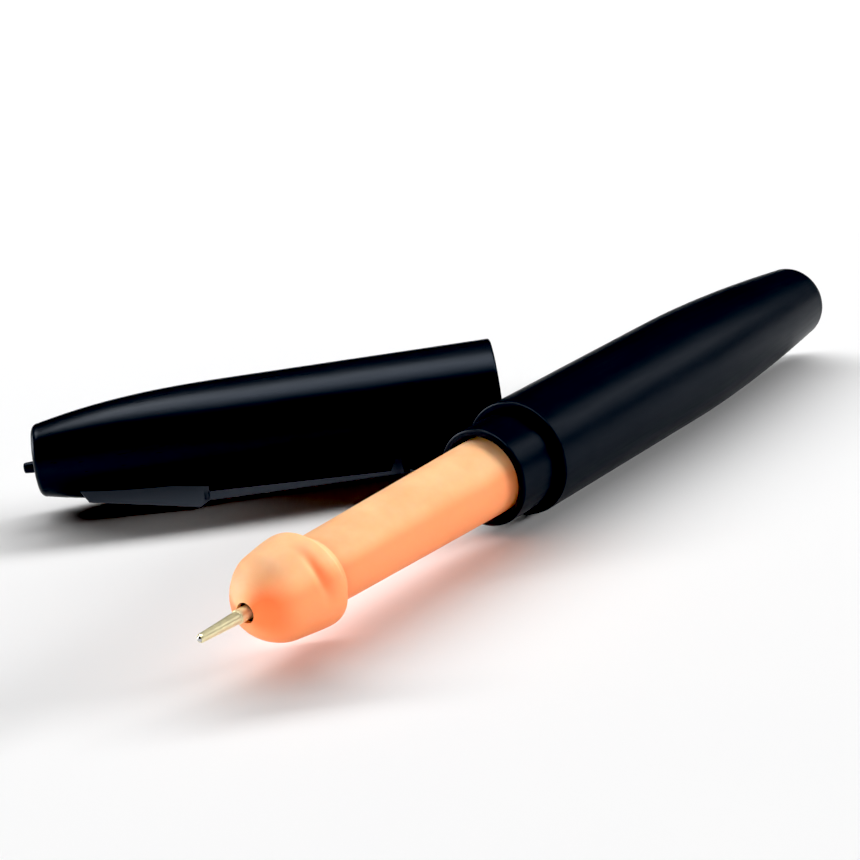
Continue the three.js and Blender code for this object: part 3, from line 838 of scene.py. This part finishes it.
def between(x, knots):
    """Straight-line value at x of knots sorted by x."""
    for (x0, v0), (x1, v1) in zip(knots, knots[1:]):
        if x <= x1:
            return v0 + (v1 - v0) * max(0.0, (x - x0) / (x1 - x0))
    return knots[-1][1]


def clip_station(x, inner, outer, upper, width, slope, sink=0.0):
    """A cross-section of the clip, whose outer face falls away below. Sink narrows the foot."""
    lower = upper - width
    chamfer = min(CLIP_CHAMFER, CLIP_CHAMFER_SHARE * width)
    fall = min(slope * width, outer - inner - CLIP_THINNEST)
    return [
        (x, lower, inner),
        (x, lower, outer - fall),
        (x, upper - chamfer, outer - slope * chamfer / 2),
        (x, upper, outer - CLIP_UPPER_DROP),
        (x, upper - sink, inner),
    ]


def bevelled(obj, width):
    """Rounds the edges, by a width in millimetres."""
    modifier = obj.modifiers.new("edges", "BEVEL")
    modifier.width = width * MM
    modifier.segments = 3
    modifier.limit_method = "ANGLE"
    modifier.angle_limit = math.radians(12)
    modifier.harden_normals = True


def make_clip_root():
    outer = [
        (-CLIP_ROOT_AT, cap_radius(CLIP_ROOT_AT) - CLIP_HEEL_SINK),
        (-CLIP_HEEL_AT, CLIP_HEEL_STAND),
        (-CLIP_BARB_AT, CLIP_BARB_STAND),
        (-CLIP_ROOT_END, CLIP_ARM_STAND),
    ]
    width = [
        (-CLIP_ROOT_AT, CLIP_HEEL_WIDTH),
        (-CLIP_BARB_AT, CLIP_ROOT_WIDTH),
        (-CLIP_ROOT_END, CLIP_ARM_WIDTH),
    ]

    def inner(x):
        if x < -CLIP_FREE_AT:
            return cap_radius(-x) - CAP_WALL / 2
        share = (x + CLIP_FREE_AT) / (CLIP_FREE_AT - CLIP_ROOT_END)
        rise = CLIP_BARB_INSIDE - cap_radius(CLIP_FREE_AT) + CAP_WALL / 2
        return cap_radius(CLIP_FREE_AT) - CAP_WALL / 2 + share * rise

    places = [-CLIP_ROOT_AT + CLIP_ROOT_INSET, -CLIP_HEEL_AT]
    places += steps(-CLIP_STEPS_FROM, -CLIP_STEPS_TO, CLIP_ROOT_STEPS)
    places += [-CLIP_BARB_AT, -CLIP_ROOT_END]
    stations = [
        clip_station(x, inner(x), between(x, outer), CLIP_UPPER, between(x, width), CLIP_SLOPE)
        for x in places
    ]
    obj = make_piece("clip_root", *loft(stations), CLIP, "cap", "shell_plastic", BLACK_CLIP_PAINTED_LIGHTER)
    bevelled(obj, CLIP_ROOT_BEVEL)


def make_clip_arm():
    end_stand = CLIP_ARM_STAND + CLIP_ARM_RISE
    inner_end = end_stand - CLIP_END_THICK
    foot_start = CLIP_ARM_END + CLIP_FOOT_SET
    foot_end = foot_start + CLIP_FOOT_LENGTH
    inner = [
        (-CLIP_ARM_START, CLIP_ARM_STAND - CLIP_ARM_THICK),
        (-foot_end, inner_end),
        (-foot_end + CLIP_FOOT_SLOPE, CLIP_FOOT_STAND),
        (-foot_start - CLIP_FOOT_SLOPE, CLIP_FOOT_STAND),
        (-foot_start, inner_end),
        (-CLIP_ARM_END, inner_end + CLIP_END_LIFT),
    ]
    outer = [(-CLIP_ARM_START, CLIP_ARM_STAND), (-CLIP_ARM_END, end_stand)]
    nose = CLIP_END_WIDTH / 2
    width = [
        (-CLIP_ARM_START, CLIP_ARM_WIDTH),
        (-CLIP_ARM_END - nose, CLIP_END_WIDTH),
        (-CLIP_ARM_END, nose),
    ]
    places = steps(-CLIP_ARM_START - CLIP_TENON, -foot_end - CLIP_STEPS_CLEAR, CLIP_ARM_STEPS)
    places += [x for x, _ in inner[1:4]]
    places += [-CLIP_ARM_END - nose, -foot_start, -CLIP_ARM_END]
    stations = []
    for x in sorted(set(places)):
        wide = between(x, width)
        sink = wide / 2 if -foot_end < x < -foot_start else 0.0
        stations.append(clip_station(
            x, between(x, inner), between(x, outer), CLIP_UPPER, wide, CLIP_ARM_SLOPE, sink))
    obj = make_piece("clip_arm_blade", *loft(stations), CLIP, "clip", "shell_plastic", BLACK_CLIP_PAINTED_LIGHTER)
    bevelled(obj, CLIP_ARM_BEVEL)
    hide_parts("clip_arm")


# Stage

def make_floor():
    low, high = -FLOOR_HALF, FLOOR_HALF
    plan = [(low, low), (high, low), (high, high), (low, high)]
    mesh = bpy.data.meshes.new("floor")
    mesh.from_pydata([(x, y, -FLOOR_DROP) for x, y in plan], [], [(0, 1, 2, 3)])
    material, nodes, links, shader = new_material("paper_white")
    place = millimetres(nodes, links, False)
    clouds = noise(nodes, links, place, scale=0.02, detail=2.0)
    tone = spread(nodes, links, clouds, 0.0, 1.0)
    cool = (0.90, 0.90, 0.905)
    neutral = (0.91, 0.91, 0.91)
    links.new(mix_colour(nodes, links, tone, cool, neutral), shader.inputs["Base Color"])
    shader.inputs["Roughness"].default_value = 0.9
    shader.inputs["Specular IOR Level"].default_value = 0.1
    mesh.materials.append(material)
    floor = bpy.data.objects.new("floor", mesh)
    bpy.context.scene.collection.objects.link(floor)
    return floor


def make_camera():
    plan = Vector(CAMERA_HEADING).normalized()
    forward = plan * math.cos(CAMERA_PITCH) + Vector((0, 0, math.sin(CAMERA_PITCH)))
    level_right = forward.cross(Vector((0, 0, 1))).normalized()
    level_up = level_right.cross(forward)
    right = level_right * math.cos(CAMERA_ROLL) + level_up * math.sin(CAMERA_ROLL)
    up = level_up * math.cos(CAMERA_ROLL) - level_right * math.sin(CAMERA_ROLL)
    turn = Matrix((right, up, -forward)).transposed().to_4x4()
    data = bpy.data.cameras.new("camera")
    data.lens = CAMERA_LENS
    data.sensor_width = SENSOR_WIDTH
    data.clip_start = NEAREST
    data.clip_end = FARTHEST
    camera = bpy.data.objects.new("camera", data)
    camera.matrix_world = Matrix.Translation(Vector(CAMERA_PLACE) * MM) @ turn
    bpy.context.scene.collection.objects.link(camera)
    bpy.context.scene.camera = camera


def area_light(name, place, size, watts, lights_up=True, mirrored=True, skipped=None):
    """A soft box, in metres, aimed at the middle of the scene.

    It can leave out the matt light, its own mirror image, or one object.
    """
    data = bpy.data.lights.new(name, "AREA")
    data.shape = "RECTANGLE"
    data.size, data.size_y = size
    data.energy = watts
    light = bpy.data.objects.new(name, data)
    aim = (-Vector(place)).to_track_quat("-Z", "Y")
    light.matrix_world = Matrix.Translation(place) @ aim.to_matrix().to_4x4()
    light.visible_diffuse = lights_up
    light.visible_glossy = mirrored
    bpy.context.scene.collection.objects.link(light)
    if skipped:
        receivers = bpy.data.collections.new(name + "_skips")
        receivers.objects.link(skipped)
        receivers.collection_objects[0].light_linking.link_state = "EXCLUDE"
        light.light_linking.receiver_collection = receivers


def make_matt_lights(floor):
    """A long strip behind the cap, and two fills that keep the grip's near side light."""
    area_light(
        "key_strip", place=(0.3, 3.5, 3.2), size=(12.0, 0.9), watts=532.0, mirrored=False)
    area_light(
        "side_fill", place=(4.9, 0.4, 1.2), size=(2.0, 0.9), watts=228.0, mirrored=False)
    area_light(
        "front_fill", place=(-1.35, -2.4, 0.38), size=(2.4, 0.5), watts=74.0,
        mirrored=False, skipped=floor)


def make_streak_lights():
    """Boxes that are only mirrored, as the streaks on the glossy plastic."""
    area_light(
        "overhead_streak", place=(0.3, 0.3, 5.0), size=(6.5, 2.0), watts=410.0, lights_up=False)
    area_light(
        "left_streak", place=(-2.2, 0.8, 0.7), size=(1.4, 1.0), watts=55.0, lights_up=False)
    area_light(
        "side_streak", place=(1.74, 0.4, 0.9), size=(0.8, 0.7), watts=5.2, lights_up=False)


def make_background():
    """A pale background that the camera sees and that lights nothing."""
    world = bpy.data.worlds.new("studio")
    world.use_nodes = True
    background = world.node_tree.nodes["Background"]
    background.inputs["Color"].default_value = (0.95, 0.975, 1.0, 1)
    background.inputs["Strength"].default_value = 0.85
    bpy.context.scene.world = world
    world.cycles_visibility.diffuse = False
    world.cycles_visibility.glossy = False


def set_tones():
    """Deep blacks, as in the photo."""
    black = 0.02
    settings = bpy.context.scene.view_settings
    settings.view_transform = "Standard"
    settings.use_curve_mapping = True
    settings.curve_mapping.black_level = (black, black, black)
    settings.curve_mapping.update()


BLACK_PEN = black_plastic("black_plastic_pen", True, roughness=0.35, tone_lift=0.0105)
BLACK_CAP = black_plastic("black_plastic_cap", False, roughness=0.29, tone_lift=0.011)
# The clip takes a lighter copy of the cap's black plastic, painted light that makes its flank show
# up as lit.
BLACK_CLIP_PAINTED_LIGHTER = black_plastic("black_plastic_clip_painted_lighter", False, roughness=0.45, tone_lift=0.044)
SKIN = soft_skin("soft_elastomer")
NICKEL = metal(
    "nickel_silver", colour=(1.0, 0.91, 0.57), roughness=0.26, ring_pitch=0.35, metallic=0.7)
STEEL = metal(
    "ball_steel", colour=(0.62, 0.62, 0.63), roughness=0.15, ring_pitch=0.1, metallic=1.0)
CLEAR = clear_plastic("clear_polypropylene")
INK = filling("ink_blue_black", colour=(0.010, 0.014, 0.06), roughness=0.2)
GREASE = filling("follower_grease", colour=(0.75, 0.66, 0.36), roughness=0.3)

make_camera()
make_matt_lights(make_floor())
make_streak_lights()
make_background()
set_tones()
make_barrel()
make_section()
make_grip()
make_refill()
make_tip()
make_cap()
make_nub()
make_clip_root()
make_clip_arm()
for node, material in (("tip_ball", STEEL), ("tip_socket", CLEAR)):
    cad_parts[node].material_slots[0].material = material
